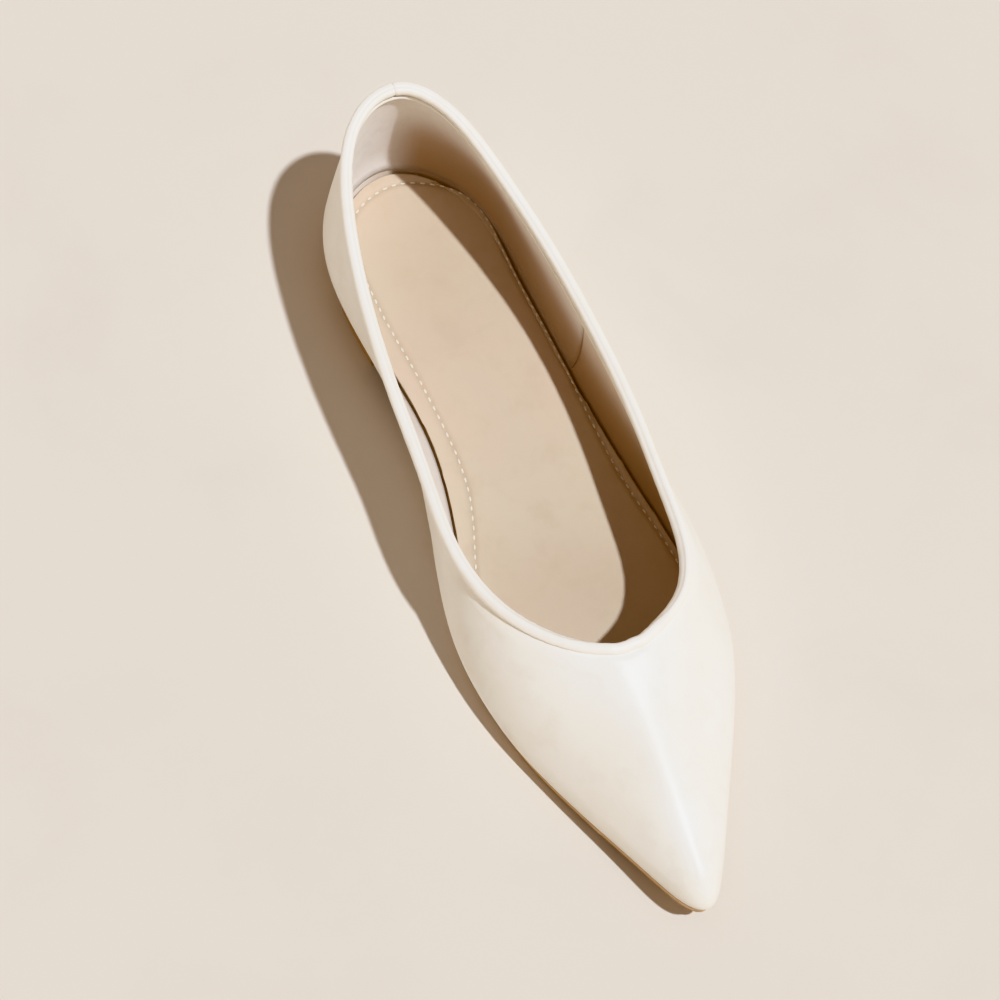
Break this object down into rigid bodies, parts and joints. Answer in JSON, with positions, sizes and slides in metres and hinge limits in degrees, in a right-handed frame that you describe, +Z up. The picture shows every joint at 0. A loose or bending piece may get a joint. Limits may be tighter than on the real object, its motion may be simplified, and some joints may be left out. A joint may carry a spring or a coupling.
{
  "type": "pointed toe flat shoe",
  "caption": "Low-cut pointed flat slip-on shoe for the right foot, with a hollow upper, rolled collar binding, padded insole, thin sole and low heel.",
  "frame": {"origin": "centre of the flat rest face under the heel, on the floor", "axes": "+Y from heel to toe, +X to the outer side of the foot (right shoe), +Z up from the floor"},
  "size_m": [0.0796, 0.2572, 0.0619],
  "materials": {
    "upper_leather": "smooth satin cream leather",
    "binding_leather": "smooth satin cream leather, rolled",
    "insole_sock": "matte tan sock lining",
    "sole_rubber": "matte tan rubber",
    "heel_rubber": "matte tan rubber"
  },
  "bodies": {
    "root": {"upper": "upper_leather", "topline_binding": "binding_leather", "insole": "insole_sock", "outsole": "sole_rubber", "heel": "heel_rubber"}
  },
  "joints": []
}
